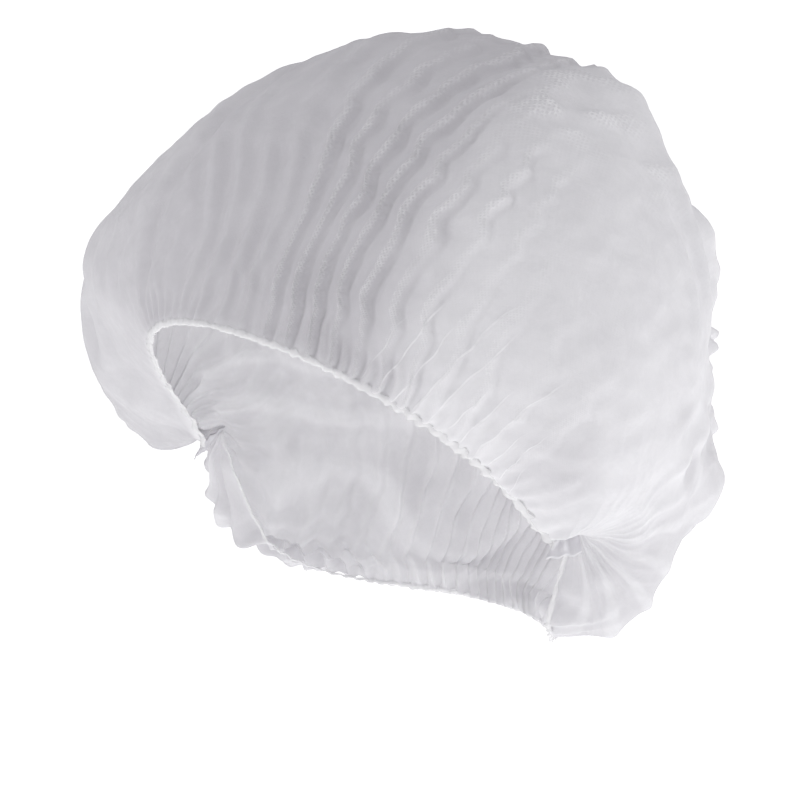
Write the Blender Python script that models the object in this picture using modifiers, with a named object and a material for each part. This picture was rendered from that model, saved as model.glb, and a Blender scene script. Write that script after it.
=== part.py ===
"""Disposable hair cover cap in its worn shape: a pleated nonwoven sheet between two elastic hems, pinched and sealed at each ear.

Metres, +Z up, the wearer faces -Y and +X is the wearer's left. The origin is in the middle of the opening, at ear height.
"""
import math

import bmesh
import bpy
import numpy as np

# Opening that the hems hold, as the wearer's head stretches it
OPENING_HALF_WIDTH = 0.077
OPENING_HALF_LENGTH = 0.097
OPENING_WIDEST_HEIGHT = 0.035
OPENING_ROUND_HEIGHT = 0.120
FRONT_HEM_RISE = 0.072
FRONT_HEM_CURVE = 2.1
BACK_HEM_DROP = 0.044
BACK_HEM_CURVE = 5.0
BACK_HEM_SQUARENESS = 0.6

# Full bag of the sheet above the hems
BAG_HALF_WIDTH = 0.118
BAG_HALF_LENGTH = 0.099
BAG_HALF_HEIGHT = 0.124
BAG_SHIFT_SIDE = -0.006
BAG_SHIFT_BACK = -0.001
BAG_CENTRE_HEIGHT = 0.042
BAG_LEAN_BACK = 0.15
BAG_LEAN_SIDE = 0.09
BAG_FRONT_SQUARENESS = 2.6
BAG_BACK_SQUARENESS = 2.2
BAG_ROUNDNESS = 2.0
BAG_EAR_FULLNESS = 13.0
BAG_SAG_ANGLE = math.radians(12)
BAG_SAG_AT = 0.88
BAG_SAG_WIDTH = 0.07
RISE_SHARE_FOREHEAD = 0.080
RISE_SHARE_EAR = 0.025
RISE_SHARE_NAPE = 0.035

# Sheet and its pleats
SHEET_THICKNESS = 0.0012
PLEATS = 30
COLUMNS_A_PLEAT = 4
ROWS = 18
ROW_CROWDING = 0.10
PLEAT_HEIGHT = 0.0026
PLEAT_SECTION = (1.0, 0.0, -0.8, -0.1)
ZIGZAG_SHARE = 0.28

# Hems and ear seals
HEM_RADIUS = 0.0012
HEM_PUCKER = 0.80
HEM_EVERY_COLUMN = 2
CLEARANCE = 0.0003
EAR_END_SHARE = 0.955
EAR_FUNNEL_SHARE = 0.87
EAR_CROWDED_SHARE = 0.80
EAR_FLAT_FROM = 0.80
EAR_FLAT_TO = 0.92
EAR_CROWDING = 0.3
MOUTH_FROM = math.radians(36)
MOUTH_TO = math.radians(180)
MOUTH_FRONT_TURN = math.radians(30)
MOUTH_BACK_TURN = math.radians(58)
MOUTH_HEM_SHARE = 0.006
SEAL_STANDING_OUT = 0.0025
SEAL_CENTRE_OUT = OPENING_HALF_WIDTH + SEAL_STANDING_OUT
SEAL_CENTRE_FORWARD = 0.001
SEAL_CENTRE_HEIGHT = 0.009
SEAL_HALF_WIDTH = 0.0060
SEAL_HALF_THICKNESS = 0.0014
SEAL_LENGTH = 0.0085
SEAL_TILT = math.radians(-22)
SEAL_LEAN = math.radians(48)
SEAL_CRIMP = 0.0003
SEAL_POINT = 0.0012
MOUTH_ROOM_WIDE = 0.0022
MOUTH_ROOM_HIGH = 0.0038
MOUTH_HALF_WIDTH = SEAL_HALF_WIDTH + MOUTH_ROOM_WIDE
MOUTH_HALF_HEIGHT = SEAL_HALF_THICKNESS + MOUTH_ROOM_HIGH

# How deep the pleats stand, along each from the front hem (0) to the back hem (1)
DEPTH_ALONG = (
    # share along, depth share
    (0.00, 0.40),
    (0.05, 0.55),
    (0.15, 0.80),
    (0.35, 1.00),
    (0.60, 0.85),
    (0.85, 0.75),
    (0.96, 0.60),
    (1.00, 0.40),
)

# How deep the pleats stand, from the wearer's right ear (-1) to the left ear (1)
DEPTH_ACROSS = (
    # ear share, depth share
    (-1.00, 0.40),
    (-0.70, 0.60),
    (-0.40, 0.45),
    (-0.10, 0.60),
    (0.15, 1.00),
    (0.65, 1.00),
    (0.90, 0.60),
    (1.00, 0.30),
)

# Broad dents and bulges of the worn sheet
BULGES = (
    # ear share, share along, width across, width along, height as a share of PLEAT_HEIGHT
    (-0.74, 0.20, 0.16, 0.14, 4.5),
    (-0.55, 0.55, 0.14, 0.16, -1.2),
    (0.10, 0.60, 0.16, 0.08, 1.5),
    (0.30, 0.74, 0.18, 0.06, -2.4),
    (0.50, 0.88, 0.22, 0.07, 4.0),
    (0.78, 0.80, 0.10, 0.12, 2.0),
    (-0.20, 0.82, 0.18, 0.07, 2.4),
    (-0.65, 0.84, 0.14, 0.08, 2.4),
    (0.52, 0.49, 0.11, 0.08, -3.4),
    (0.64, 0.64, 0.10, 0.08, 3.2),
    (0.31, 0.45, 0.06, 0.05, -2.2),
    (0.23, 0.37, 0.07, 0.05, 2.0),
)

# Where loose sheet hangs down beside the ears
DROOP_KEPT_FROM = 0.90
DROOPS = (
    # ear share, share along, width across, width along, drop as a share of BAG_HALF_HEIGHT, out of BAG_HALF_WIDTH
    (-0.87, 0.22, 0.08, 0.22, 0.226, 0.085),
    (0.80, 0.80, 0.09, 0.14, 0.060, 0.017),
)


def hem_point(plan_angle, height):
    """A point of the opening at a plan angle from straight ahead, +X being a quarter turn."""
    narrowing = np.sqrt(1 - ((height - OPENING_WIDEST_HEIGHT) / OPENING_ROUND_HEIGHT) ** 2)
    x = OPENING_HALF_WIDTH * narrowing * np.sin(plan_angle)
    y = -OPENING_HALF_LENGTH * narrowing * np.cos(plan_angle)
    return np.stack([x, y, height], axis=-1)


def front_hem(ear_share):
    """The front hem, from the right ear (-1) over the forehead (0) to the left ear (1)."""
    height = FRONT_HEM_RISE * (1 - np.abs(ear_share) ** FRONT_HEM_CURVE)
    return hem_point(math.pi / 2 * ear_share, height)


def back_hem(ear_share):
    """The back hem, from the right ear (-1) round the nape (0) to the left ear (1)."""
    drop = (1 - np.abs(ear_share) ** BACK_HEM_CURVE) ** BACK_HEM_SQUARENESS
    side = np.where(ear_share < 0, -1.0, 1.0)
    plan_angle = side * math.pi * (1 - np.abs(ear_share) / 2)
    return hem_point(plan_angle, -BACK_HEM_DROP * drop)


def bag_reach(direction):
    """Distance from the origin to the full bag along each direction, found by halving."""
    centre = np.array((BAG_SHIFT_SIDE, BAG_SHIFT_BACK, BAG_CENTRE_HEIGHT))
    low = np.zeros(direction.shape[:-1])
    high = np.full(direction.shape[:-1], 3 * BAG_HALF_HEIGHT)
    for _ in range(30):
        middle = (low + high) / 2
        x, y, z = np.moveaxis(direction * middle[..., None] - centre, -1, 0)
        x = np.abs(x - BAG_LEAN_SIDE * z) / BAG_HALF_WIDTH
        y = (y - BAG_LEAN_BACK * z) / BAG_HALF_LENGTH
        back = np.clip(0.5 + 0.5 * y, 0, 1)
        square = BAG_FRONT_SQUARENESS * (1 - back) + BAG_BACK_SQUARENESS * back
        plan = (x ** square + np.abs(y) ** square) ** (BAG_ROUNDNESS / square)
        inside = plan + (np.abs(z) / BAG_HALF_HEIGHT) ** BAG_ROUNDNESS < 1
        low = np.where(inside, middle, low)
        high = np.where(inside, high, middle)
    return (low + high) / 2


def unit(vectors):
    """The same vectors at length one."""
    return vectors / np.linalg.norm(vectors, axis=-1, keepdims=True)


def smooth_step(value):
    """A soft step from 0 to 1."""
    value = np.clip(value, 0, 1)
    return value * value * (3 - 2 * value)


def seal_mouth(ear_share, along):
    """The narrow oval that the sheet's gathers close into round an ear seal."""
    side = np.where(ear_share < 0, -1.0, 1.0)
    angle = MOUTH_FROM + (MOUTH_TO - MOUTH_FROM) * along
    angle = angle - MOUTH_FRONT_TURN * np.exp(-along / MOUTH_HEM_SHARE)
    angle = angle + MOUTH_BACK_TURN * np.exp(-(1 - along) / MOUTH_HEM_SHARE)
    long_way = MOUTH_HALF_WIDTH * np.cos(angle)
    short_way = MOUTH_HALF_HEIGHT * np.sin(angle)
    forward = long_way * math.cos(SEAL_TILT) - short_way * math.sin(SEAL_TILT)
    up = long_way * math.sin(SEAL_TILT) + short_way * math.cos(SEAL_TILT)
    return np.stack([side * SEAL_CENTRE_OUT, -SEAL_CENTRE_FORWARD - forward, up + SEAL_CENTRE_HEIGHT], axis=-1)


def sheet_point(ear_share, along):
    """The worn sheet without its pleats."""
    ear_share, along = np.broadcast_arrays(np.asarray(ear_share, float), np.asarray(along, float))
    start, end = front_hem(ear_share), back_hem(ear_share)
    start_reach = np.linalg.norm(start, axis=-1)
    end_reach = np.linalg.norm(end, axis=-1)
    start_turn = np.arctan2(start[..., 2], -start[..., 1])
    end_turn = np.arctan2(end[..., 2], -end[..., 1]) % (2 * math.pi)
    start_side = np.arcsin(start[..., 0] / start_reach)
    end_side = np.arcsin(end[..., 0] / end_reach)
    spread = np.clip(np.sin(math.pi * along), 0, 1) ** 0.7
    side = (start_side * (1 - along) + end_side * along) * (1 - spread) + math.pi / 2 * ear_share * spread
    sag = BAG_SAG_ANGLE * (1 - np.abs(ear_share) ** 8) * np.exp(-((along - BAG_SAG_AT) / BAG_SAG_WIDTH) ** 2)
    turn = start_turn * (1 - along) + end_turn * along + sag
    direction = np.stack([np.sin(side), -np.cos(side) * np.cos(turn), np.cos(side) * np.sin(turn)], axis=-1)
    taut = start_reach * (1 - along) + end_reach * along
    toward_ear = np.abs(ear_share)
    rise = RISE_SHARE_FOREHEAD + (RISE_SHARE_EAR - RISE_SHARE_FOREHEAD) * toward_ear ** 1.5
    fullness = (1 - np.exp(-along / rise)) * (1 - np.exp(-(1 - along) / RISE_SHARE_NAPE))
    fullness = fullness * (1 - np.clip(toward_ear, 0, 1) ** BAG_EAR_FULLNESS)
    reach = taut + (bag_reach(direction) - taut) * fullness
    closing = smooth_step((toward_ear - EAR_FUNNEL_SHARE) / (EAR_END_SHARE - EAR_FUNNEL_SHARE))[..., None]
    return direction * reach[..., None] * (1 - closing) + seal_mouth(ear_share, along) * closing


def share_clear_of(ears, edge, way, distance):
    """How far along the sheet from one edge, as a share, each place is at the wanted distance from that edge."""
    hem = sheet_point(ears, edge)
    share = np.full(ears.shape, 0.01)
    for _ in range(8):
        reached = np.linalg.norm(sheet_point(ears, edge + way * share) - hem, axis=-1)
        share = share * np.clip(distance / reached, 0.5, 2.0)
    return share


def depth_of(rows, share):
    """The depth share at a place, from one of the tables above."""
    places, depths = zip(*rows)
    return np.interp(share, places, depths)


def new_object(name, mesh_data, collection):
    """An object for mesh or curve data, in the cap's collection."""
    made = bpy.data.objects.new(name, mesh_data)
    collection.objects.link(made)
    return made


def new_material(name, colour, roughness):
    """A plain Principled material."""
    material = bpy.data.materials.new(name)
    material.use_nodes = True
    shader = material.node_tree.nodes["Principled BSDF"]
    shader.inputs["Base Color"].default_value = (*colour, 1.0)
    shader.inputs["Roughness"].default_value = roughness
    return material


def thicken(made, thickness, name):
    """Gives a sheet its thickness, half of it to each side."""
    wall = made.modifiers.new(name, "SOLIDIFY")
    wall.thickness = thickness
    wall.offset = 0.0
    wall.use_even_offset = False
    wall.use_rim = True


def build_crown(collection):
    """The pleated sheet: a grid bent to the worn shape, with its pleats and bulges raised along the surface normal."""
    columns = PLEATS * COLUMNS_A_PLEAT + 1
    share = np.linspace(0, 1, ROWS)
    base_along = share - ROW_CROWDING * np.sin(2 * math.pi * share)
    ears = np.linspace(-EAR_END_SHARE, EAR_END_SHARE, columns)
    ear_grid, along_grid = np.meshgrid(ears, base_along, indexing="ij")

    # the sheet starts and ends just clear of the hems, a little more so where they turn in to the ear seals
    near_ear = smooth_step((np.abs(ears) - EAR_CROWDED_SHARE) / (EAR_END_SHARE - EAR_CROWDED_SHARE))
    standoff = HEM_RADIUS + CLEARANCE + SHEET_THICKNESS / 4
    first = share_clear_of(ears, 0.0, 1.0, standoff * (1 + EAR_CROWDING * near_ear))[:, None]
    last = share_clear_of(ears, 1.0, -1.0, standoff * (1 + EAR_CROWDING * near_ear))[:, None]
    along_grid = first + along_grid * (1 - first - last)

    # the ridges wander from side to side where the crossing creases pull them
    step = 2 * EAR_END_SHARE / PLEATS
    swing = np.where(np.arange(ROWS) % 4 < 2, 1.0, -1.0) * np.where(np.arange(ROWS) % 2 == 0, 1.0, 0.4)
    swing[0] = swing[-1] = 0
    inner = 1 - smooth_step((np.abs(ear_grid) - 0.6) / 0.3)
    ear_grid = ear_grid + ZIGZAG_SHARE * step * swing[None, :] * inner

    flat = sheet_point(ear_grid, along_grid)
    across = np.gradient(flat, axis=0)
    down = np.gradient(flat, axis=1)
    normal = unit(np.cross(down, across))
    normal = normal * np.sign(np.sum(normal * flat, axis=-1, keepdims=True).mean())
    section = np.array(PLEAT_SECTION)[np.arange(columns) % COLUMNS_A_PLEAT][:, None]
    depth = depth_of(DEPTH_ALONG, along_grid) * depth_of(DEPTH_ACROSS, ear_grid)
    raised = section * depth
    settle = np.sin(math.pi * np.clip(along_grid, 0, 1)) ** 0.5
    for ear, along, wide, long, height in BULGES:
        hill = np.exp(-((ear_grid - ear) / wide) ** 2 - ((along_grid - along) / long) ** 2)
        raised = raised + height * hill * settle
    raised = raised * (1 - smooth_step((np.abs(ear_grid) - EAR_FLAT_FROM) / (EAR_FLAT_TO - EAR_FLAT_FROM)))
    points = flat + normal * (PLEAT_HEIGHT * raised)[..., None]
    held = 1 - smooth_step((np.abs(ear_grid) - DROOP_KEPT_FROM) / (EAR_END_SHARE - DROOP_KEPT_FROM))
    for ear, along, wide, long, drop, out in DROOPS:
        hill = np.exp(-((ear_grid - ear) / wide) ** 2 - ((along_grid - along) / long) ** 2) * settle * held
        way = np.array((math.copysign(out * BAG_HALF_WIDTH, ear), 0.0, -drop * BAG_HALF_HEIGHT))
        points = points + hill[..., None] * way

    sheet = bmesh.new()
    bmesh.ops.create_grid(sheet, x_segments=columns - 1, y_segments=ROWS - 1, size=1.0)
    for vert in sheet.verts:
        i = round((vert.co.x + 1) / 2 * (columns - 1))
        j = round((vert.co.y + 1) / 2 * (ROWS - 1))
        vert.co = points[i, j]
    mesh = bpy.data.meshes.new("crown")
    sheet.to_mesh(mesh)
    sheet.free()
    crown = new_object("crown", mesh, collection)
    thicken(crown, SHEET_THICKNESS, "sheet thickness")
    return crown


def build_hem(name, along, collection):
    """A rolled hem over its elastic: a round cord along one edge of the sheet, puckered between the pleats."""
    index = np.arange(PLEATS * COLUMNS_A_PLEAT + 1)
    ears = (2 * index / index[-1] - 1) * EAR_END_SHARE
    kept = (index % HEM_EVERY_COLUMN == 0) | (np.abs(ears) > EAR_CROWDED_SHARE)
    ears = ears[kept]
    pucker = np.where(index[kept] % COLUMNS_A_PLEAT == 0, 1.0, HEM_PUCKER)
    line = sheet_point(ears, along)
    curve = bpy.data.curves.new(name, "CURVE")
    curve.dimensions = "3D"
    curve.bevel_depth = HEM_RADIUS
    curve.bevel_resolution = 2
    curve.use_fill_caps = True
    spline = curve.splines.new("POLY")
    spline.points.add(len(line) - 1)
    for point, place, radius in zip(spline.points, line, pucker):
        point.co = (*place, 1.0)
        point.radius = radius
    return new_object(name, curve, collection)


def build_seal(name, side, collection):
    """The pinched and heat-sealed end of the sheet: a small crimped plate that leans down from the ear."""
    plate = bmesh.new()
    bmesh.ops.create_grid(plate, x_segments=8, y_segments=4, size=1.0)
    lean = np.array([math.cos(SEAL_LEAN), 0.0, -math.sin(SEAL_LEAN)])
    width_way = np.array([0.0, -math.cos(SEAL_TILT), math.sin(SEAL_TILT)])
    thick_way = np.cross(width_way, lean)
    root = np.array([SEAL_CENTRE_OUT, -SEAL_CENTRE_FORWARD, SEAL_CENTRE_HEIGHT])
    for vert in plate.verts:
        across = vert.co.x
        out = (vert.co.y + 1) / 2
        flare = 0.92 + 0.18 * out
        crimp = SEAL_CRIMP * math.cos(4 * math.pi * across)
        place = root + width_way * across * flare * SEAL_HALF_WIDTH + lean * out * SEAL_LENGTH
        place = place + thick_way * crimp + width_way * SEAL_POINT * out * (1 + across) / 2
        vert.co = (side * place[0], place[1], place[2])
    mesh = bpy.data.meshes.new(name)
    plate.to_mesh(mesh)
    plate.free()
    seal = new_object(name, mesh, collection)
    thicken(seal, 2 * SEAL_HALF_THICKNESS, "seal thickness")
    return seal


def main():
    for old in list(bpy.data.objects):
        bpy.data.objects.remove(old, do_unlink=True)
    collection = bpy.data.collections.new("disposable hair cover cap")
    bpy.context.scene.collection.children.link(collection)
    white = (0.86, 0.86, 0.88)
    crown = build_crown(collection)
    crown.data.materials.append(new_material("nonwoven sheet", white, 0.75))
    front = build_hem("front_elastic_hem", 0.0, collection)
    front.data.materials.append(new_material("front hem", white, 0.7))
    back = build_hem("back_elastic_hem", 1.0, collection)
    back.data.materials.append(new_material("back hem", white, 0.7))
    for name, side in (("seal_tab_left", 1), ("seal_tab_right", -1)):
        seal = build_seal(name, side, collection)
        seal.data.materials.append(new_material(name.replace("_", " "), (0.80, 0.80, 0.82), 0.6))


main()
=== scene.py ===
"""Disposable hair cover cap in its worn shape, dressed for rendering. Metres, +Z up, the wearer faces -Y."""
import math

import bmesh
import bpy
import numpy as np
from mathutils import Matrix, Vector


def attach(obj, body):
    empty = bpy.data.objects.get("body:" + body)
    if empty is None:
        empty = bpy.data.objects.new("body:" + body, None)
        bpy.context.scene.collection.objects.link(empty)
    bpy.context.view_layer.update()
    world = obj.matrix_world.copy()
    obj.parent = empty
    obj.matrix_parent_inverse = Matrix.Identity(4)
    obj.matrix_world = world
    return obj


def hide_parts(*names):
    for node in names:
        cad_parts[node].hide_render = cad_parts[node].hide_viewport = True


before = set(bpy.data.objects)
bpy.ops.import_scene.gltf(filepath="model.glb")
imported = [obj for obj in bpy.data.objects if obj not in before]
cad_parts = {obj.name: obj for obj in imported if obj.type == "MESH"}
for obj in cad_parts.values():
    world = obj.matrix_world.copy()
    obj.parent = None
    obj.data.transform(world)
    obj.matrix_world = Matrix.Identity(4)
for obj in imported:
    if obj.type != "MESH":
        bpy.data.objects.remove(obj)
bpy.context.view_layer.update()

# Crown
# One sheet of point bonded nonwoven, 0.53 m long, gathered along both long edges and pinched at its ends. A
# place on it is an ear share, from the right ear (-1) to the left ear (1), and a share along, from the front
# hem (0) to the back hem (1). The pleats run along it, and creases from its packing cross them.
opening_half_width = 0.077
opening_half_length = 0.097
opening_widest_height = 0.035
opening_round_height = 0.120
front_hem_rise = 0.072
back_hem_drop = 0.044
bag_half_width = 0.118
bag_half_length = 0.099
bag_half_height = 0.124
bag_centre = np.array((-0.006, -0.001, 0.042))
bag_lean_back = 0.15
bag_lean_side = 0.09
ear_end = 0.955
ear_funnel = 0.87
seal_place = np.array((0.0795, -0.001, 0.009))
seal_tilt = math.radians(-22)
# as many as the solids have; those on the right side are wider here, so about 26 run from ear to ear
pleats = 30
# the longest lines across the sheet, from ear to ear and from hem to hem, as they were before its pleats and
# gathers were deepened; they are 0.534 and 0.440 m now
flat_width, flat_length = 0.53, 0.435


def ease(value):
    value = np.clip(value, 0, 1)
    return value * value * (3 - 2 * value)


def opening_point(plan_angle, height):
    narrow = np.sqrt(1 - ((height - opening_widest_height) / opening_round_height) ** 2)
    x = opening_half_width * narrow * np.sin(plan_angle)
    y = -opening_half_length * narrow * np.cos(plan_angle)
    return np.stack([x, y, height], axis=-1)


def bag_reach(direction):
    low = np.zeros(direction.shape[:-1])
    high = np.full(direction.shape[:-1], 3 * bag_half_height)
    for _ in range(22):
        middle = (low + high) / 2
        x, y, z = np.moveaxis(direction * middle[..., None] - bag_centre, -1, 0)
        x = np.abs(x - bag_lean_side * z) / bag_half_width
        y = (y - bag_lean_back * z) / bag_half_length
        back = np.clip(0.5 + 0.5 * y, 0, 1)
        square = 2.6 * (1 - back) + 2.2 * back
        plan = (x ** square + np.abs(y) ** square) ** (2 / square)
        inside = plan + (z / bag_half_height) ** 2 < 1
        low = np.where(inside, middle, low)
        high = np.where(inside, high, middle)
    return (low + high) / 2


def seal_mouth(ear, along):
    angle = math.radians(20) + math.radians(160) * along
    angle = angle - math.radians(18) * np.exp(-along / 0.006)
    angle = angle + math.radians(45) * np.exp(-(1 - along) / 0.006)
    long_way = 0.0066 * np.cos(angle)
    short_way = 0.0022 * np.sin(angle)
    forward = long_way * math.cos(seal_tilt) - short_way * math.sin(seal_tilt)
    up = long_way * math.sin(seal_tilt) + short_way * math.cos(seal_tilt)
    x = np.where(ear < 0, -1.0, 1.0) * seal_place[0]
    return np.stack([x, seal_place[1] - forward, seal_place[2] + up], axis=-1)


def smooth_sheet(ear, along):
    ear, along = np.broadcast_arrays(np.asarray(ear, float), np.asarray(along, float))
    out = np.abs(ear)
    side_sign = np.where(ear < 0, -1.0, 1.0)
    start = opening_point(math.pi / 2 * ear, front_hem_rise * (1 - out ** 2.1))
    end = opening_point(side_sign * math.pi * (1 - out / 2), -back_hem_drop * (1 - out ** 5) ** 0.6)
    start_reach = np.linalg.norm(start, axis=-1)
    end_reach = np.linalg.norm(end, axis=-1)
    start_turn = np.arctan2(start[..., 2], -start[..., 1])
    end_turn = np.arctan2(end[..., 2], -end[..., 1]) % (2 * math.pi)
    start_side = np.arcsin(start[..., 0] / start_reach)
    end_side = np.arcsin(end[..., 0] / end_reach)
    spread = np.clip(np.sin(math.pi * along), 0, 1) ** 0.7
    side = (start_side * (1 - along) + end_side * along) * (1 - spread) + math.pi / 2 * ear * spread
    sag = math.radians(12) * (1 - out ** 8) * np.exp(-((along - 0.88) / 0.07) ** 2)
    turn = start_turn * (1 - along) + end_turn * along + sag
    direction = np.stack([np.sin(side), -np.cos(side) * np.cos(turn), np.cos(side) * np.sin(turn)], axis=-1)
    taut = start_reach * (1 - along) + end_reach * along
    rise = 0.080 - 0.055 * out ** 1.5
    fullness = (1 - np.exp(-along / rise)) * (1 - np.exp(-(1 - along) / 0.035))
    fullness = fullness * (1 - np.clip(out, 0, 1) ** 13)
    reach = taut + (bag_reach(direction) - taut) * fullness
    closing = ease((out - ear_funnel) / (ear_end - ear_funnel))[..., None]
    return direction * reach[..., None] * (1 - closing) + seal_mouth(ear, along) * closing


def pleat_number(share):
    """Which pleat a place on the edge is in; the pleats beside the forehead on the right side are wider."""
    at_turn = 16.885
    numbers = (at_turn - 1.62 * 12.2, at_turn, at_turn + 1.38 * pleats / (2 * ear_end))
    return np.interp(share, (-1.5, 0.12, 1.5), numbers)


def crumple(place, size, seed, count=14):
    """Soft random ups and downs of about one unit, with a typical size in metres."""
    chance = np.random.default_rng(seed)
    total = np.zeros(place.shape[:-1])
    for _ in range(count):
        way = chance.normal(size=3)
        way /= np.linalg.norm(way)
        total += np.sin(place @ way * (2 * math.pi / size * chance.uniform(0.6, 1.6)) + chance.uniform(0, 7))
    return total / math.sqrt(count / 2)


def patch(ear_at, along_at, ear_wide, along_wide):
    """One soft round patch of the sheet, 1 in its middle."""
    return np.exp(-((ear - ear_at) / ear_wide) ** 2 - ((along - along_at) / along_wide) ** 2)


across_count, along_count = 440, 224
sheet = bmesh.new()
sheet.loops.layers.uv.new("flat cloth")
bmesh.ops.create_grid(sheet, x_segments=across_count, y_segments=along_count, size=1.0, calc_uvs=True)
crown_mesh = bpy.data.meshes.new("pleated_sheet")
sheet.to_mesh(crown_mesh)
sheet.free()
grid_place = np.empty(len(crown_mesh.vertices) * 3)
crown_mesh.vertices.foreach_get("co", grid_place)
grid_place = grid_place.reshape(-1, 3)
column = np.rint((grid_place[:, 0] + 1) / 2 * across_count).astype(int)
row = np.rint((grid_place[:, 1] + 1) / 2 * along_count).astype(int)

column_share = np.linspace(0, 1, across_count + 1)
row_share = np.linspace(0, 1, along_count + 1)
ear_line = column_share - 0.035 * np.sin(2 * math.pi * (column_share - 0.12))
ear_line = np.interp(ear_line, (ear_line[0], ear_line[-1]), (-ear_end, ear_end))
along_line = row_share - 0.075 * np.sin(2 * math.pi * row_share)
ear, along = np.meshgrid(ear_line, along_line, indexing="ij")
smooth = smooth_sheet(ear, along)
length = np.zeros_like(along)
length[:, 1:] = np.cumsum(np.linalg.norm(np.diff(smooth, axis=1), axis=-1), axis=1)
from_front = length
from_back = length[:, -1:] - length
inner = ease((0.88 - np.abs(ear)) / 0.22)

# the ridges drift towards the right ear as they climb, and the packing creases make them zigzag every 15 mm
drift_across = np.interp(
    ear,
    (-0.9, -0.3, 0.0, 0.15, 0.25, 0.55, 0.75, 0.9),
    (0, 0.35, 0.75, 0.95, 1.2, 1.35, 0.8, 0),
)
drift = 0.36 * (1 - np.exp(-along / 0.42)) * drift_across
start_share = ear + drift
crease_turn = 2 * math.pi * (along * 20 + 0.9 * start_share + 0.45 * crumple(smooth, 0.08, 3))
zigzag = (2 / math.pi) * np.arcsin(0.9 * np.sin(crease_turn + 0.5 * np.sin(crease_turn)))
zigzag = zigzag + 0.30 * crumple(smooth, 0.018, 4)
zigzag_size = np.interp(along, (0, 0.02, 0.06, 0.12, 0.5, 0.8, 1), (0, 0.02, 0.12, 0.17, 0.14, 0.08, 0))
zigzag_size *= inner
zigzag_size *= np.interp(start_share, (-0.6, 0.0, 0.15, 0.3), (0.3, 0.35, 0.8, 1))
wander = 0.28 * crumple(smooth, 0.11, 5) * ease(from_front / 0.04) * ease(from_back / 0.04) * inner
pleat = pleat_number(start_share) - 0.08 + zigzag * zigzag_size + wander

# each ridge is a rounded crest that falls steeply into a narrow groove on its left ear side
section = np.interp(
    pleat % 1,
    (0.00, 0.06, 0.13, 0.20, 0.26, 0.32, 0.48, 0.66, 0.82, 0.94, 1.00),
    (1.00, 0.88, 0.35, -0.45, -0.85, -0.75, -0.35, -0.02, 0.45, 0.92, 1.00),
)
sharp = ease((start_share - 0.02) / 0.16)
section = section * sharp + 0.8 * np.cos(2 * math.pi * pleat) * (1 - sharp)
strong_across = np.interp(
    start_share,
    (-0.95, -0.32, -0.22, -0.10, 0.0, 0.10, 0.2, 0.42, 0.50, 0.58, 0.85, 1.1),
    (0.05, 0.10, 0.40, 0.72, 0.88, 0.95, 1.0, 1.0, 0.90, 0.50, 0.15, 0.1),
)
strong_along = np.interp(
    along,
    (0, 0.02, 0.05, 0.10, 0.14, 0.27, 0.34, 0.42, 0.60, 0.85, 0.95, 1),
    (0.35, 0.70, 0.80, 0.92, 1.0, 0.92, 0.58, 0.35, 0.30, 0.45, 0.45, 0.2),
)
bare_side = patch(0.62, 0.30, 0.20, 0.20) + patch(0.44, 0.48, 0.18, 0.12)
bare_side = bare_side + 0.8 * patch(0.46, 0.26, 0.07, 0.10)
bare_top = 0.50 * ease((along - 0.11) / 0.08) * ease((0.14 - start_share) / 0.12) * ease((0.5 - along) / 0.15)
bare_back = 0.88 * ease((along - 0.23) / 0.07) * ease((start_share - 0.33) / 0.09)
bare_back = bare_back * ease((0.72 - along) / 0.15)
strong = strong_across * strong_along * (1 - 0.92 * np.clip(bare_side, 0, 1))
strong = strong * (1 - bare_top) * (1 - bare_back)
by_ridge = np.stack([start_share, 0.25 * along, 0.1 * along], axis=-1)
strong *= 0.82 + 0.18 * crumple(smooth, 0.035, 6) + 0.20 * crumple(by_ridge, 0.12, 8)
# where the worn cap is narrower than its cut, towards the back hem, its pleats are deeper and take up part of
# the cloth that is left over; their depth is worked out as if more pleats shared it than there are
slope = np.linspace(0, 5, 101)
wave = np.linspace(0, 2 * math.pi, 181)
taken_up = np.sqrt(1 + (slope[:, None] * np.cos(wave)) ** 2).mean(axis=1)
worn_width = np.linalg.norm(np.diff(smooth, axis=0), axis=-1).sum(axis=0)
worn_length = length[:, -1:]
shared_by = 41
pleat_depth = np.interp(flat_width / worn_width, taken_up, slope) * worn_width / (2 * math.pi * shared_by)
back_share = ease((along - 0.42) / 0.16) * ease((0.93 - np.abs(ear)) / 0.10) * ease((0.80 - ear) / 0.18)
back_pleat = np.cos(2 * math.pi * pleat) * (0.95 + 0.12 * crumple(smooth, 0.05, 9))
beaded = 1 + np.interp(along, (0, 0.1, 0.35, 0.6), (0, 0.10, 0.40, 0.15)) * np.cos(crease_turn + 0.8)
raised = 0.0023 * strong * section * beaded * (1 - back_share) + pleat_depth * back_share * back_pleat

# short gathers that the elastic draws in along both edges, every other one running on into a ridge
gather_turn = 2 * math.pi * (2 * (pleat + 0.08) + 0.22 * crumple(smooth, 0.035, 11))
gather = np.cos(gather_turn) * (0.75 + 0.3 * crumple(smooth, 0.03, 12))
rib_reach = 0.015 + 0.004 * crumple(smooth, 0.03, 13)
rib = gather * np.exp(-(from_front / np.clip(rib_reach, 0.008, 0.024)) ** 1.6)
rib *= np.interp(start_share, (-0.6, -0.45, -0.25, 0.30, 0.42, 0.55), (0, 0.3, 0.9, 1, 0.85, 0.55))
raised += 0.00150 * rib
raised += 0.00120 * gather * np.exp(-(from_back / 0.018) ** 1.4)

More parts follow.
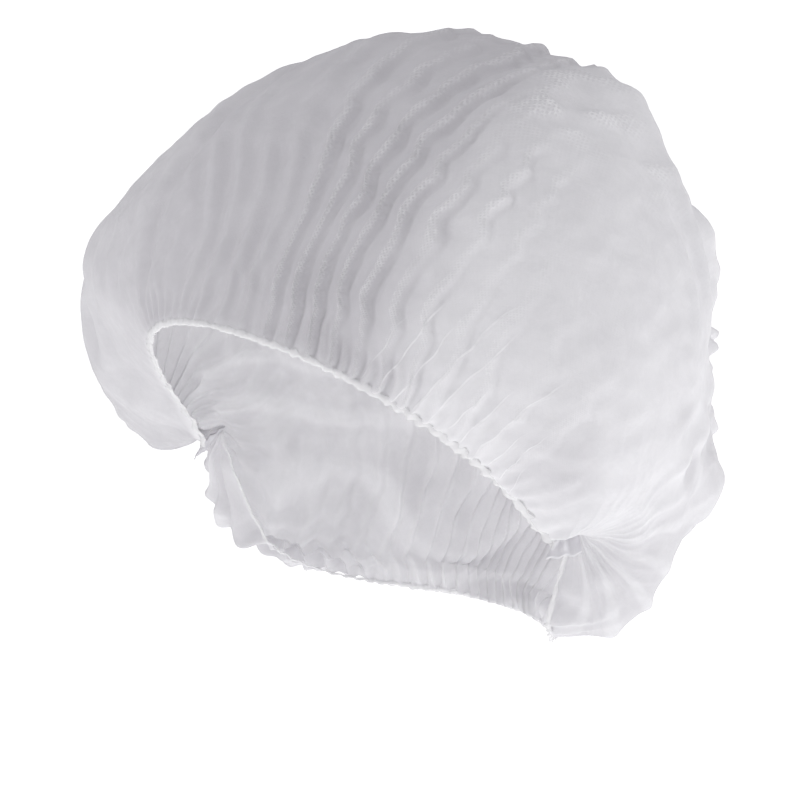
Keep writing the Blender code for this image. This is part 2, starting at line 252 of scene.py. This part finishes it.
# crisp thin folds that stand square to the front hem beside each ear: where each starts and its reach
crisp_starts = (0.36, 0.40, 0.445, 0.49, 0.535, 0.575, 0.62, 0.66, 0.70, 0.74, 0.78, 0.815, 0.85, 0.89)
crisp_lengths = (
    0.010, 0.030, 0.042, 0.036, 0.058, 0.050, 0.030, 0.034, 0.052, 0.026, 0.034, 0.016, 0.010, 0.002,
)
crisp_lean = np.interp(np.abs(ear), (0.55, 0.62, 0.70, 0.75, 0.85), (0, 0.5, 0.9, 2.6, 4.0))
crisp_share = np.abs(ear) + 0.20 * drift + crisp_lean * np.minimum(from_front, 0.03)
crisp_waver = 0.0020 * crumple(smooth, 0.016, 21) + 0.0028 * crumple(smooth, 0.045, 23)
crisp_share += crisp_waver * ease(from_front / 0.010)
crisp_turn = np.interp(crisp_share, crisp_starts, np.arange(len(crisp_starts)) + 0.5)
crisp_reach = np.interp(crisp_share, crisp_starts, crisp_lengths) * np.where(ear > 0, 1, 0.55)
crisp_place = ease((crisp_share - 0.37) / 0.04) * ease((0.885 - crisp_share) / 0.02)
crisp_place = crisp_place * ease((crisp_reach - from_front) / 0.012) * np.where(ear > 0, 1, 0.25)
crisp_place *= np.clip(0.85 + 0.35 * crumple(smooth, 0.012, 24), 0, 1)
crisp_line = np.exp(-((np.abs((crisp_turn % 1) - 0.5)) / 0.10) ** 1.5)
raised += 0.0008 * crisp_line * crisp_place

# creases that fan out of each ear seal
near_seal = ease((np.abs(ear) - 0.70) / 0.17) * (1 - ease((np.abs(ear) - 0.91) / 0.045))
fan_count = 24
fan_turn = 2 * math.pi * (along * fan_count + 0.45 * crumple(smooth, 0.05, 31))
fan = np.cos(fan_turn + 0.7 * np.sin(fan_turn))
fan_depth = near_seal * np.clip(0.35 + 0.5 * crumple(smooth, 0.045, 32), 0.05, 1.2)
raised += 0.00018 * fan_depth * fan + 0.0006 * near_seal * crumple(smooth, 0.024, 33)
# the side and back that hang away from the face also have round folds that fan out of the ear seals
fan_slope = np.interp(np.minimum(flat_length / worn_length, 2.2), taken_up, slope)
hidden = ease((-0.35 - ear) / 0.20) * ease((along - 0.20) / 0.15)
hidden += ease((ear + 0.35) / 0.20) * ease((along - 0.40) / 0.15) * ease((0.62 - ear) / 0.15)
fan_place = ease((np.abs(ear) - 0.32) / 0.32) * (1 - ease((np.abs(ear) - 0.92) / 0.035))
highest_fan = 0.0015
fan_height = np.minimum(fan_slope * worn_length / (2 * math.pi * fan_count), highest_fan)
raised += fan_height * np.cos(fan_turn) * fan_place * hidden

# short dotted humps high on the left, where the ridges die out
hump_place = patch(0.235, 0.305, 0.07, 0.045) + 0.6 * patch(0.36, 0.33, 0.04, 0.03)
hump_place = hump_place + 0.4 * patch(0.12, 0.45, 0.14, 0.06)
hump = ease(0.25 + 0.8 * crumple(smooth * (0.6, 0.6, 1.5), 0.013, 35))
raised += 0.0025 * hump * hump_place

# broad soft folds of the loose sheet down the side and back
fold_turn = 2 * math.pi * (along * 9.5 + 0.55 * ear + 0.55 * crumple(smooth, 0.11, 41))
fold_place = ease((along - 0.30) / 0.12) * ease((0.97 - along) / 0.1) * ease((0.90 - np.abs(ear)) / 0.2)
fold = np.cos(fold_turn + 0.6 * np.sin(fold_turn))
raised += 0.0020 * fold * fold_place * (0.75 + 0.5 * crumple(smooth, 0.07, 42))
raised += 0.0007 * crumple(smooth * (1.0, 1.0, 0.5), 0.020, 46) * fold_place

# the line where the taut sheet over the forehead turns into the loose bulge beside the right ear
turn_line = ear + 0.30 + 0.9 * (0.17 - along)
raised -= 0.0022 * np.exp(-(turn_line / 0.024) ** 2) * ease((0.32 - along) / 0.08) * ease(along / 0.06)
slant = crumple(smooth * (1.0, 1.0, 0.35), 0.018, 44) + 0.5 * crumple(smooth * (1.0, 0.8, 0.4), 0.009, 45)
raised += 0.00045 * slant * (patch(-0.58, 0.12, 0.14, 0.10) + patch(-0.78, 0.12, 0.08, 0.10))

# a crushed pocket low on the left side, and puckers low on the right side
pocket = patch(0.73, 0.47, 0.06, 0.11) + 0.5 * patch(-0.3, 0.82, 0.3, 0.08)
pocket = pocket + 0.4 * patch(-0.82, 0.15, 0.08, 0.12)
pocket_crush = crumple(smooth, 0.020, 51)
raised += 0.0020 * pocket_crush * pocket
ripple = 0.00042 * crumple(smooth, 0.042, 61) + 0.00016 * crumple(smooth, 0.013, 62)
raised += ripple * ease(from_front / 0.02)

# broad dents and bulges of the worn bag, and the loose sheet that hangs beside the ears, as in the solids
settled = np.sin(math.pi * along) ** 0.5
raised *= 1 - ease((np.abs(ear) - 0.91) / 0.045)
raised *= 0.35 + 0.65 * ease(from_front / 0.002) * ease(from_back / 0.002)
for bulge in (
    (-0.74, 0.20, 0.16, 0.14, 4.5), (-0.55, 0.55, 0.14, 0.16, -1.2), (0.10, 0.60, 0.16, 0.08, 1.5),
    (0.30, 0.74, 0.18, 0.06, -2.4), (0.50, 0.88, 0.22, 0.07, 4.0), (0.78, 0.80, 0.10, 0.12, 2.0),
    (-0.20, 0.82, 0.18, 0.07, 2.4), (-0.65, 0.84, 0.14, 0.08, 2.4), (0.52, 0.49, 0.11, 0.08, -3.4),
    (0.64, 0.64, 0.10, 0.08, 3.2), (0.31, 0.45, 0.06, 0.05, -2.2), (0.23, 0.37, 0.07, 0.05, 2.0),
):
    hill = patch(*bulge[:4]) * settled * (1 - ease((np.abs(ear) - 0.80) / 0.12))
    raised += 0.0026 * bulge[4] * hill
outward = np.cross(np.gradient(smooth, axis=1), np.gradient(smooth, axis=0))
outward /= np.linalg.norm(outward, axis=-1, keepdims=True)
outward *= np.sign((outward * smooth).sum())
worn = smooth + outward * raised[..., None]
for droop in ((-0.87, 0.22, 0.08, 0.22, -0.010, -0.028), (0.80, 0.80, 0.09, 0.14, 0.002, -0.0075)):
    hill = patch(*droop[:4]) * settled * (1 - ease((np.abs(ear) - 0.90) / (ear_end - 0.90)))
    worn = worn + hill[..., None] * np.array((droop[4], 0, droop[5]))
crown_mesh.vertices.foreach_set("co", worn[column, row].ravel())

# what the cloth's finish follows: the run of the pleats and crisp folds, how strongly they stand, how much
# cloth lies folded together, and painted light and shade; folded cloth is whiter than taut cloth, and the
# painted light and shade makes the loose side and back whiter and the taut top and front greyer, with painted
# shade in hollows
folded = 0.8 * np.exp(-(from_front / 0.0030) ** 2)
folded = np.maximum(folded, 0.45 * ease(rib * 0.9 + 0.1))
folded = np.maximum(folded, 0.6 * pocket * ease(pocket_crush - 0.3))
dotted = np.clip(hump ** 3 * hump_place * 1.5, 0, 1)
# painted light and shade: the loose side and back are painted whiter than the taut top and front
painted_light_and_shade = ease((start_share - 0.30 + 0.25 * (along - 0.15)) / 0.28)
painted_light_and_shade = np.maximum(painted_light_and_shade, ease((along - 0.40) / 0.20))
painted_light_and_shade = np.maximum(painted_light_and_shade, 0.30 * ease(-turn_line / 0.06) + 0.30 * ease((-0.50 - ear) / 0.25))
# painted shade in the dents of the crushed pocket and in the troughs of the back folds
painted_light_and_shade -= 0.45 * pocket * ease(-pocket_crush) + 0.40 * ease((along - 0.45) / 0.12) * ease(0.5 - 0.7 * fold)
# painted shade in a patch beside the left seal
painted_light_and_shade -= 0.55 * patch(0.81, 0.05, 0.07, 0.05)
for name, value in (
    ("pleat", pleat), ("pleat strength", np.clip(strong * 1.15, 0, 1)),
    ("crest strength", np.clip(strong * sharp, 0, 1)),
    ("crisp fold", crisp_turn), ("crisp strength", np.clip(crisp_place, 0, 1)),
    ("folded", np.clip(folded, 0, 1)), ("painted_light_and_shade", np.clip(painted_light_and_shade, 0, 1)), ("dotted", dotted),
):
    layer = crown_mesh.attributes.new(name, "FLOAT", "POINT")
    layer.data.foreach_set("value", value[column, row])
crown_mesh.polygons.foreach_set("use_smooth", [True] * len(crown_mesh.polygons))
crown_mesh.update()
crown = bpy.data.objects.new("pleated_sheet", crown_mesh)
bpy.context.scene.collection.objects.link(crown)

cloth = bpy.data.materials.new("point bonded nonwoven")
cloth.use_nodes = True
cloth_nodes, cloth_links = cloth.node_tree.nodes, cloth.node_tree.links
cloth_nodes.clear()


def cloth_sum(operation, first, second):
    made = cloth_nodes.new("ShaderNodeMath")
    made.operation = operation
    for slot, value in enumerate((first, second)):
        if isinstance(value, (int, float)):
            made.inputs[slot].default_value = value
        else:
            cloth_links.new(value, made.inputs[slot])
    return made.outputs[0]


def cloth_range(value, low, high):
    made = cloth_nodes.new("ShaderNodeMapRange")
    made.interpolation_type = "SMOOTHSTEP"
    made.inputs["From Min"].default_value = low
    made.inputs["From Max"].default_value = high
    cloth_links.new(value, made.inputs["Value"])
    return made.outputs[0]


def cloth_noise(place, scale, detail, roughness, distortion=0.0):
    made = cloth_nodes.new("ShaderNodeTexNoise")
    made.inputs["Scale"].default_value = scale
    made.inputs["Detail"].default_value = detail
    made.inputs["Roughness"].default_value = roughness
    made.inputs["Distortion"].default_value = distortion
    cloth_links.new(place, made.inputs["Vector"])
    return made.outputs[0]


# the bonds are 1.3 mm apart in staggered rows on the flat cloth; the fibres lie every way, in clouds
flat_place = cloth_nodes.new("ShaderNodeUVMap")
flat_place.uv_map = "flat cloth"
flat_size = cloth_nodes.new("ShaderNodeVectorMath")
flat_size.operation = "MULTIPLY"
flat_size.inputs[1].default_value = (flat_width, flat_length, 1)
cloth_links.new(flat_place.outputs[0], flat_size.inputs[0])
flat_split = cloth_nodes.new("ShaderNodeSeparateXYZ")
cloth_links.new(flat_size.outputs[0], flat_split.inputs[0])
bond_row_pitch = 0.0018
bond_turn = 2 * math.pi / bond_row_pitch
bond_across = cloth_sum("COSINE", cloth_sum("MULTIPLY", flat_split.outputs[0], bond_turn), 0.0)
bond_along = cloth_sum("COSINE", cloth_sum("MULTIPLY", flat_split.outputs[1], bond_turn), 0.0)
bond = cloth_range(cloth_sum("MULTIPLY", bond_across, bond_along), 0.05, 0.6)
own_place = cloth_nodes.new("ShaderNodeTexCoord").outputs["Object"]
fibre = cloth_noise(own_place, 850, 4, 0.65)
cloud = cloth_range(cloth_noise(own_place, 75, 6, 0.62, 0.4), 0.30, 0.72)
wisp = cloth_range(cloth_noise(own_place, 28, 4, 0.55, 1.2), 0.35, 0.70)


def cloth_layer(name):
    made = cloth_nodes.new("ShaderNodeAttribute")
    made.attribute_name = name
    return made.outputs["Fac"]


def cloth_stripe(turn, middle, outer, core):
    """A soft stripe at one place of every pleat or fold: 1 in its core, 0 outside it."""
    share = cloth_sum("FRACT", cloth_sum("ADD", turn, 0.5 - middle), 0.0)
    return cloth_range(cloth_sum("ABSOLUTE", cloth_sum("SUBTRACT", share, 0.5), 0.0), outer, core)


fuzz = cloth_sum("MULTIPLY", cloth_sum("SUBTRACT", cloth_noise(own_place, 420, 3, 0.6), 0.5), 0.10)
pleat_turn = cloth_sum("ADD", cloth_layer("pleat"), fuzz)
crest_band = cloth_sum("MULTIPLY", cloth_stripe(pleat_turn, -0.02, 0.17, 0.06), cloth_layer("crest strength"))
# painted shade: the groove beside each strong pleat is painted darker, where shade falls in it
groove_painted_shade = cloth_sum("MULTIPLY", cloth_stripe(pleat_turn, 0.26, 0.15, 0.02), cloth_layer("pleat strength"))
crisp_turned = cloth_sum("ADD", cloth_layer("crisp fold"), cloth_sum("MULTIPLY", fuzz, 0.35))
crisp_stripe = cloth_stripe(crisp_turned, 0.5, 0.062, 0.012)
crisp_band = cloth_sum("MULTIPLY", crisp_stripe, cloth_layer("crisp strength"))
folded_share = cloth_sum("MAXIMUM", cloth_sum("MULTIPLY", crest_band, 0.35), cloth_layer("folded"))
folded_share = cloth_sum("MAXIMUM", folded_share, crisp_band)
painted_light_and_shade_layer = cloth_layer("painted_light_and_shade")
dotted_share = cloth_sum("MAXIMUM", crest_band, cloth_layer("dotted"))
fluffed = cloth_range(cloth_noise(own_place, 700, 2, 0.5), 0.40, 0.62)
tuft = cloth_sum("MULTIPLY", cloth_sum("SUBTRACT", 1.0, bond), fluffed)
tufted = cloth_sum("MULTIPLY", tuft, dotted_share)

bond_strength = cloth_sum("ADD", cloth_sum("MULTIPLY", dotted_share, 0.30), 0.05)
bonded = cloth_sum("MULTIPLY", bond, bond_strength)
whiteness = cloth_sum("MULTIPLY", folded_share, 0.60)
# painted light on the loose side and back, painted shade on the taut top and front
whiteness = cloth_sum("ADD", whiteness, cloth_sum("MULTIPLY", painted_light_and_shade_layer, 0.78))
whiteness = cloth_sum("ADD", whiteness, cloth_sum("MULTIPLY", tufted, 0.42))
whiteness = cloth_sum("ADD", whiteness, cloth_sum("MULTIPLY", cloth_sum("SUBTRACT", cloud, 0.5), 0.09))
whiteness = cloth_sum("ADD", whiteness, cloth_sum("MULTIPLY", cloth_sum("SUBTRACT", wisp, 0.5), 0.09))
whiteness = cloth_sum("SUBTRACT", whiteness, cloth_sum("MULTIPLY", bonded, 0.55))
# painted shade in the pleats' grooves
whiteness = cloth_sum("SUBTRACT", whiteness, cloth_sum("MULTIPLY", groove_painted_shade, 0.22))
tint = cloth_nodes.new("ShaderNodeMixRGB")
tint.inputs[1].default_value = (0.655, 0.642, 0.668, 1)
tint.inputs[2].default_value = (0.93, 0.925, 0.94, 1)
cloth_links.new(whiteness, tint.inputs[0])
height = cloth_sum("SUBTRACT", cloth_sum("MULTIPLY", fibre, 0.7), cloth_sum("MULTIPLY", bonded, 1.2))
height = cloth_sum("ADD", height, cloth_sum("MULTIPLY", tufted, 0.5))
relief = cloth_nodes.new("ShaderNodeBump")
relief.inputs["Strength"].default_value = 0.45
relief.inputs["Distance"].default_value = 0.00035
cloth_links.new(height, relief.inputs["Height"])

surface = cloth_nodes.new("ShaderNodeBsdfPrincipled")
surface.inputs["Roughness"].default_value = 0.74
surface.inputs["Specular IOR Level"].default_value = 0.22
surface.inputs["Sheen Weight"].default_value = 0.12
surface.inputs["Sheen Roughness"].default_value = 0.5
cloth_links.new(tint.outputs[0], surface.inputs["Base Color"])
cloth_links.new(relief.outputs[0], surface.inputs["Normal"])
through = cloth_nodes.new("ShaderNodeBsdfTranslucent")
cloth_links.new(tint.outputs[0], through.inputs["Color"])
cloth_links.new(relief.outputs[0], through.inputs["Normal"])
body = cloth_nodes.new("ShaderNodeMixShader")
body.inputs[0].default_value = 0.30
cloth_links.new(surface.outputs[0], body.inputs[1])
cloth_links.new(through.outputs[0], body.inputs[2])
clear = cloth_nodes.new("ShaderNodeBsdfTransparent")
clear_share = cloth_sum("SUBTRACT", 0.15, cloth_sum("MULTIPLY", cloud, 0.07))
clear_share = cloth_sum("MULTIPLY", cloth_sum("SUBTRACT", 1.0, folded_share), clear_share)
cloth_skin = cloth_nodes.new("ShaderNodeMixShader")
cloth_links.new(clear_share, cloth_skin.inputs[0])
cloth_links.new(body.outputs[0], cloth_skin.inputs[1])
cloth_links.new(clear.outputs[0], cloth_skin.inputs[2])
cloth_out = cloth_nodes.new("ShaderNodeOutputMaterial")
cloth_links.new(cloth_skin.outputs[0], cloth_out.inputs["Surface"])
crown_mesh.materials.append(cloth)
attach(crown, "root")
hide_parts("crown")

# Elastic hems
# The sheet's edge rolled over a thin elastic and drawn up, so it is a soft white bead 2 to 4 mm wide that
# swells between the gathers. The front one is wider and flatter beside the ears than over the forehead.
rolled = bpy.data.materials.new("rolled nonwoven hem")
rolled.use_nodes = True
rolled_nodes, rolled_links = rolled.node_tree.nodes, rolled.node_tree.links
rolled_surface = rolled_nodes["Principled BSDF"]
rolled_surface.inputs["Roughness"].default_value = 0.8
rolled_surface.inputs["Sheen Weight"].default_value = 0.2
rolled_place = rolled_nodes.new("ShaderNodeTexCoord")
rolled_fibres = rolled_nodes.new("ShaderNodeTexNoise")
rolled_fibres.inputs["Scale"].default_value = 900
rolled_fibres.inputs["Detail"].default_value = 5
rolled_folds = rolled_nodes.new("ShaderNodeTexNoise")
rolled_folds.inputs["Scale"].default_value = 260
rolled_folds.inputs["Detail"].default_value = 3
rolled_tint = rolled_nodes.new("ShaderNodeMixRGB")
rolled_tint.inputs[1].default_value = (0.75, 0.74, 0.76, 1)
rolled_tint.inputs[2].default_value = (0.90, 0.895, 0.91, 1)
rolled_bump = rolled_nodes.new("ShaderNodeBump")
rolled_bump.inputs["Strength"].default_value = 0.6
rolled_bump.inputs["Distance"].default_value = 0.0003
rolled_links.new(rolled_place.outputs["Object"], rolled_fibres.inputs["Vector"])
rolled_links.new(rolled_place.outputs["Object"], rolled_folds.inputs["Vector"])
rolled_links.new(rolled_folds.outputs[0], rolled_tint.inputs[0])
rolled_links.new(rolled_tint.outputs[0], rolled_surface.inputs["Base Color"])
rolled_links.new(rolled_fibres.outputs[0], rolled_bump.inputs["Height"])
rolled_links.new(rolled_bump.outputs[0], rolled_surface.inputs["Normal"])
rolled_surface.inputs["Subsurface Weight"].default_value = 0.9
rolled_surface.inputs["Subsurface Radius"].default_value = (1, 1, 1)
rolled_surface.inputs["Subsurface Scale"].default_value = 0.0032
rolled_clear = rolled_nodes.new("ShaderNodeBsdfTransparent")
rolled_skin = rolled_nodes.new("ShaderNodeMixShader")
rolled_skin.inputs[0].default_value = 0.18
rolled_links.new(rolled_surface.outputs[0], rolled_skin.inputs[1])
rolled_links.new(rolled_clear.outputs[0], rolled_skin.inputs[2])
rolled_links.new(rolled_skin.outputs[0], rolled_nodes["Material Output"].inputs["Surface"])

for name, edge, inward, stands_for, seed in (
    ("front_hem_bead", 0.0, 1, "front_elastic_hem", 71),
    ("back_hem_bead", 1.0, -1, "back_elastic_hem", 72),
):
    ring_count, round_count = 1100, 12
    bead = bmesh.new()
    bmesh.ops.create_grid(bead, x_segments=ring_count, y_segments=round_count, size=1.0)
    ring = np.linspace(-ear_end, ear_end, ring_count + 1)
    line = smooth_sheet(ring, edge)
    toward = smooth_sheet(ring, edge + inward * 0.006) - line
    ahead = np.gradient(line, axis=0)
    ahead /= np.linalg.norm(ahead, axis=-1, keepdims=True)
    toward -= ahead * (toward * ahead).sum(-1, keepdims=True)
    toward /= np.linalg.norm(toward, axis=-1, keepdims=True)
    out = np.cross(ahead, toward)
    out *= np.sign((out * line).sum())
    gather_ring = 2 * pleat_number(ring) + 0.22 * crumple(line, 0.035, 11)
    swell = np.abs(np.cos(math.pi * gather_ring)) ** 0.6
    beside_ear = ease((np.abs(ring) - 0.25) / 0.45)
    widest = 0.00085 if inward > 0 else -0.00025
    wide = (0.00120 + widest * beside_ear) * (0.72 + 0.34 * swell + 0.13 * crumple(line, 0.004, seed))
    thick = (0.00050 - 0.00012 * beside_ear) * (0.85 + 0.18 * swell + 0.10 * crumple(line, 0.005, seed + 5))
    shift = 0.00022 * np.cos(2 * math.pi * gather_ring) + 0.00012 * crumple(line, 0.006, seed + 9)
    bead_grid = np.array([vert.co[:] for vert in bead.verts])
    at = np.rint((bead_grid[:, 0] + 1) / 2 * ring_count).astype(int)
    step = np.rint((bead_grid[:, 1] + 1) / 2 * round_count).astype(int)
    angle = 2 * math.pi * step / round_count
    placed = line[at] + toward[at] * (wide[at] * np.cos(angle))[:, None]
    placed += out[at] * (thick[at] * np.sin(angle) + shift[at])[:, None]
    fluff = 0.00010 * crumple(placed, 0.0030, seed + 2)
    placed += (placed - line[at]) * (fluff / 0.0009)[:, None]
    for vert, spot in zip(bead.verts, placed):
        vert.co = spot
    bmesh.ops.remove_doubles(bead, verts=bead.verts, dist=0.00001)
    bmesh.ops.holes_fill(bead, edges=[side for side in bead.edges if side.is_boundary])
    bmesh.ops.recalc_face_normals(bead, faces=bead.faces)
    bead_mesh = bpy.data.meshes.new(name)
    bead.to_mesh(bead_mesh)
    bead.free()
    bead_mesh.polygons.foreach_set("use_smooth", [True] * len(bead_mesh.polygons))
    hem = bpy.data.objects.new(name, bead_mesh)
    bpy.context.scene.collection.objects.link(hem)
    bead_mesh.materials.append(rolled)
    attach(hem, "root")
    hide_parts(stands_for)

# Ear seals
# The end of the folded strip, pressed and melted into a small stiff tab. It leans out and down from the ear,
# with the pleats' edges still showing as crimps and one corner pulled to a point towards the face.
sealed = bpy.data.materials.new("melted nonwoven seal")
sealed.use_nodes = True
sealed_nodes, sealed_links = sealed.node_tree.nodes, sealed.node_tree.links
sealed_surface = sealed_nodes["Principled BSDF"]
sealed_surface.inputs["Roughness"].default_value = 0.45
sealed_place = sealed_nodes.new("ShaderNodeTexCoord")
sealed_fibres = sealed_nodes.new("ShaderNodeTexNoise")
sealed_fibres.inputs["Scale"].default_value = 600
sealed_fibres.inputs["Detail"].default_value = 5
sealed_patches = sealed_nodes.new("ShaderNodeTexNoise")
sealed_patches.inputs["Scale"].default_value = 220
sealed_patches.inputs["Detail"].default_value = 2
# painted shade: the tab's grey, darker than the cloth, stands for the shade it sits in
seal_painted_shade_tint = sealed_nodes.new("ShaderNodeMixRGB")
seal_painted_shade_tint.inputs[1].default_value = (0.55, 0.54, 0.57, 1)
seal_painted_shade_tint.inputs[2].default_value = (0.72, 0.71, 0.74, 1)
sealed_bump = sealed_nodes.new("ShaderNodeBump")
sealed_bump.inputs["Strength"].default_value = 0.5
sealed_bump.inputs["Distance"].default_value = 0.0004
sealed_links.new(sealed_place.outputs["Object"], sealed_fibres.inputs["Vector"])
sealed_links.new(sealed_place.outputs["Object"], sealed_patches.inputs["Vector"])
sealed_links.new(sealed_patches.outputs[0], seal_painted_shade_tint.inputs[0])
sealed_links.new(seal_painted_shade_tint.outputs[0], sealed_surface.inputs["Base Color"])
sealed_links.new(sealed_fibres.outputs[0], sealed_bump.inputs["Height"])
sealed_links.new(sealed_bump.outputs[0], sealed_surface.inputs["Normal"])
sealed_surface.inputs["Subsurface Weight"].default_value = 0.25
sealed_surface.inputs["Subsurface Radius"].default_value = (1, 1, 1)
sealed_surface.inputs["Subsurface Scale"].default_value = 0.0012

for name, side, stands_for, seed in (
    ("left_seal", 1, "seal_tab_left", 81),
    ("right_seal", -1, "seal_tab_right", 82),
):
    tab = bmesh.new()
    bmesh.ops.create_grid(tab, x_segments=64, y_segments=36, size=1.0)
    width_way = np.array([0, -math.cos(seal_tilt), math.sin(seal_tilt)])
    free_edge_way = np.array([-0.55, -0.83, -0.04])
    hanging_way = np.array([0.30, -0.39, -0.87])
    face_way = np.cross(free_edge_way, hanging_way)
    tab_grid = np.array([vert.co[:] for vert in tab.verts])
    across, out = tab_grid[:, 0], (tab_grid[:, 1] + 1) / 2
    reach = 0.0080 * out * (1.0 + 0.14 * across + 0.05 * np.sin(7 * across + seed))
    crimp = 0.00024 * np.arcsin(0.9 * np.sin(2.6 * math.pi * across + 1.6 * out)) * (1 - 0.3 * out)
    curl = 0.0010 * out ** 2 * np.sin(2.2 * across)
    placed = seal_place + width_way * (across * 0.0062 * (1 - out))[:, None]
    placed = placed + hanging_way * (reach - 0.0006)[:, None]
    placed = placed + free_edge_way * (across * out * 0.0066)[:, None] + face_way * (crimp + curl)[:, None]
    placed = placed + face_way * (0.00010 * crumple(placed, 0.004, seed))[:, None]
    placed[:, 0] *= side
    for vert, spot in zip(tab.verts, placed):
        vert.co = spot
    bmesh.ops.solidify(tab, geom=tab.faces[:], thickness=0.0008)
    bmesh.ops.recalc_face_normals(tab, faces=tab.faces)
    tab_mesh = bpy.data.meshes.new(name)
    tab.to_mesh(tab_mesh)
    tab.free()
    tab_mesh.polygons.foreach_set("use_smooth", [True] * len(tab_mesh.polygons))
    seal = bpy.data.objects.new(name, tab_mesh)
    bpy.context.scene.collection.objects.link(seal)
    tab_mesh.materials.append(sealed)
    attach(seal, "root")
    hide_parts(stands_for)

# the sheet's length from hem to hem at each ear share, as modelled; the real cap is more likely cut as the
# full rectangle, and the cloth bunched beside its ears isn't all modelled, so an area share worked out from
# this says little about the real cloth
hem_to_hem = np.linalg.norm(np.diff(worn, axis=1), axis=-1).sum(axis=1)
hem_to_hem = (hem_to_hem[1:] + hem_to_hem[:-1]) / 2

# Camera
# Level with the temples and a little above, in front of the wearer's left side.
azimuth, elevation, roll = math.radians(38), math.radians(12), math.radians(5.5)
level_right = Vector((math.cos(azimuth), math.sin(azimuth), 0))
level_up = Vector((
    -math.sin(azimuth) * math.sin(elevation),
    math.cos(azimuth) * math.sin(elevation),
    math.cos(elevation),
))
toward_camera = level_right.cross(level_up)
picture_right = level_right * math.cos(roll) + level_up * math.sin(roll)
picture_up = level_up * math.cos(roll) - level_right * math.sin(roll)
aim = Vector((0, 0, 0.050)) + picture_right * 0.0014 - picture_up * 0.0114
camera_data = bpy.data.cameras.new("product camera")
sensor_width = 36
camera_distance = 1.4
picture_width = 800 / 2900
camera_data.sensor_width = sensor_width
camera_data.lens = sensor_width * camera_distance / picture_width
camera = bpy.data.objects.new("product camera", camera_data)
bpy.context.scene.collection.objects.link(camera)
camera.location = aim + toward_camera * camera_distance
camera.rotation_euler = Matrix((picture_right, picture_up, toward_camera)).transposed().to_euler()
bpy.context.scene.camera = camera

# Floor and light
# A white floor far below the cap lights it from beneath, a soft lamp lights it from the camera's right and a
# smaller, weaker one from its upper left. The room is dim, so the top of the crown is its darkest part and
# the low part on the camera's right the brightest; the crown's cloth adds to this with painted shade on its
# taut top and front and painted light on its loose side and back.
floor_shape = bmesh.new()
bmesh.ops.create_grid(floor_shape, x_segments=1, y_segments=1, size=8)
floor_mesh = bpy.data.meshes.new("floor")
floor_shape.to_mesh(floor_mesh)
floor_shape.free()
floor = bpy.data.objects.new("floor", floor_mesh)
floor_height = -0.32
floor.location = (0, 0, floor_height)
bpy.context.scene.collection.objects.link(floor)
pale = bpy.data.materials.new("pale floor")
pale.use_nodes = True
pale_surface = pale.node_tree.nodes["Principled BSDF"]
pale_surface.inputs["Base Color"].default_value = (0.9, 0.9, 0.9, 1)
pale_surface.inputs["Roughness"].default_value = 0.9
pale_surface.inputs["Emission Color"].default_value = (1, 1, 1, 1)
pale_surface.inputs["Emission Strength"].default_value = 0.80
pale_under = pale.node_tree.nodes.new("ShaderNodeBsdfTransparent")
pale_side = pale.node_tree.nodes.new("ShaderNodeNewGeometry")
pale_skin = pale.node_tree.nodes.new("ShaderNodeMixShader")
pale.node_tree.links.new(pale_side.outputs["Backfacing"], pale_skin.inputs[0])
pale.node_tree.links.new(pale_surface.outputs[0], pale_skin.inputs[1])
pale.node_tree.links.new(pale_under.outputs[0], pale_skin.inputs[2])
pale.node_tree.links.new(pale_skin.outputs[0], pale.node_tree.nodes["Material Output"].inputs["Surface"])
floor_mesh.materials.append(pale)

room = bpy.data.worlds.new("dim room")
room.use_nodes = True
room.node_tree.nodes["Background"].inputs["Color"].default_value = (0.97, 0.97, 1.0, 1)
room.node_tree.nodes["Background"].inputs["Strength"].default_value = 0.40
bpy.context.scene.world = room

for name, where, size, power in (
    ("right lamp", level_right * 1.2 + level_up * 0.1 + toward_camera * 0.1, 0.8, 4.1),
    ("left key", level_right * -0.7 + level_up * 0.9 + toward_camera * 0.7, 0.35, 3.0),
):
    lamp_data = bpy.data.lights.new(name, "AREA")
    lamp_data.size = size
    lamp_data.energy = power
    lamp = bpy.data.objects.new(name, lamp_data)
    bpy.context.scene.collection.objects.link(lamp)
    lamp.location = where
    lamp.rotation_euler = (Vector(where) - Vector((0, 0, 0.05))).to_track_quat("Z", "Y").to_euler()

bpy.context.scene.view_settings.view_transform = "Standard"
